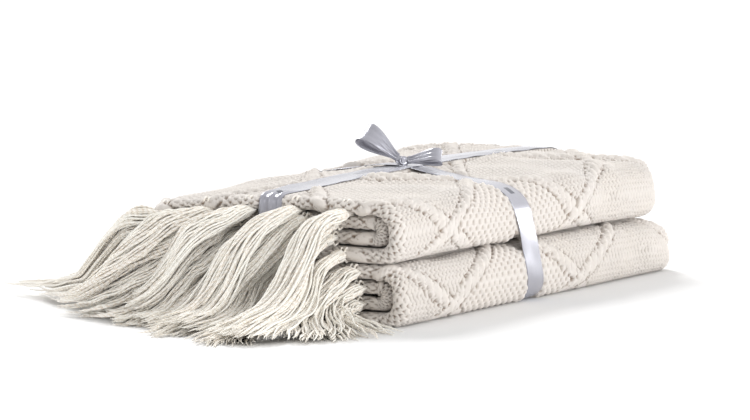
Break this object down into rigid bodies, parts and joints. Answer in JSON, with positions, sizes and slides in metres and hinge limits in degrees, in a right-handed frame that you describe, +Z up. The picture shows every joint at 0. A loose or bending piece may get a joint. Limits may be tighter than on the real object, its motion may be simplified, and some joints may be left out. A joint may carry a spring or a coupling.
{
  "type": "folded throw blanket",
  "caption": "Cream cable-knit throw folded into two packets, with a long tasselled fringe at one end, tied both ways with grey satin ribbon and a bow.",
  "frame": {"origin": "middle of the folded stack where its underside rests, on the lower face of the lengthwise ribbon", "axes": "+Z up, -Y towards the tasselled end, +X towards the two front folds"},
  "size_m": [0.6012, 0.9582, 0.1968],
  "materials": {
    "knit": "chunky matt wool-look knit",
    "fringe_yarn": "matt plied yarn",
    "satin_ribbon": "glossy woven satin"
  },
  "bodies": {
    "folded_throw": {"bow_knot": "satin_ribbon", "ribbon_crosswise": "satin_ribbon", "ribbon_lengthwise": "satin_ribbon", "tassel_1_1": "fringe_yarn", "tassel_1_2": "fringe_yarn", "tassel_1_3": "fringe_yarn", "tassel_1_4": "fringe_yarn", "tassel_1_5": "fringe_yarn", "tassel_2_1": "fringe_yarn", "tassel_2_2": "fringe_yarn", "tassel_2_3": "fringe_yarn", "tassel_2_4": "fringe_yarn", "tassel_2_5": "fringe_yarn", "tassel_3_1": "fringe_yarn", "tassel_3_2": "fringe_yarn", "tassel_3_3": "fringe_yarn", "tassel_3_4": "fringe_yarn", "tassel_3_5": "fringe_yarn", "tassel_4_1": "fringe_yarn", "tassel_4_2": "fringe_yarn", "tassel_4_3": "fringe_yarn", "tassel_4_4": "fringe_yarn", "tassel_4_5": "fringe_yarn", "tassel_5_1": "fringe_yarn", "tassel_5_2": "fringe_yarn", "tassel_5_3": "fringe_yarn", "tassel_5_4": "fringe_yarn", "tassel_5_5": "fringe_yarn", "tassel_6_1": "fringe_yarn", "tassel_6_2": "fringe_yarn", "tassel_6_3": "fringe_yarn", "tassel_6_4": "fringe_yarn", "tassel_6_5": "fringe_yarn", "tassel_7_1": "fringe_yarn", "tassel_7_2": "fringe_yarn", "tassel_7_3": "fringe_yarn", "tassel_7_4": "fringe_yarn", "tassel_7_5": "fringe_yarn", "tassel_8_1": "fringe_yarn", "tassel_8_2": "fringe_yarn", "throw_panel": "knit"},
    "bow_loop_back": {"bow_loop_back": "satin_ribbon"},
    "bow_loop_front": {"bow_loop_front": "satin_ribbon"},
    "top_tassel_3": {"tassel_8_3": "fringe_yarn"},
    "top_tassel_4": {"tassel_8_4": "fringe_yarn"},
    "top_tassel_5": {"tassel_8_5": "fringe_yarn"}
  },
  "joints": [
    {"name": "bow_loop_back_flex", "type": "hinge", "parent": "folded_throw", "child": "bow_loop_back", "pos_m": [0, -0.075, 0.1549], "axis": [-0.342, 0.9397, 0], "range_deg": [-15, 25], "stiffness_Nm_per_rad": 0.02},
    {"name": "bow_loop_front_flex", "type": "hinge", "parent": "folded_throw", "child": "bow_loop_front", "pos_m": [0, -0.075, 0.1549], "axis": [0.3746, -0.9272, 0], "range_deg": [0, 30], "stiffness_Nm_per_rad": 0.02},
    {"name": "top_tassel_3_lift", "type": "hinge", "parent": "folded_throw", "child": "top_tassel_3", "pos_m": [-0.026, -0.3664, 0.12164], "axis": [-0.9267, 0.3757, 0], "range_deg": [0, 35]},
    {"name": "top_tassel_4_lift", "type": "hinge", "parent": "folded_throw", "child": "top_tassel_4", "pos_m": [0.03, -0.3664, 0.12284], "axis": [-0.9304, 0.3665, 0], "range_deg": [0, 35]},
    {"name": "top_tassel_5_lift", "type": "hinge", "parent": "folded_throw", "child": "top_tassel_5", "pos_m": [0.08879, -0.3664, 0.12161], "axis": [-0.9424, 0.3344, 0], "range_deg": [0, 35]}
  ]
}
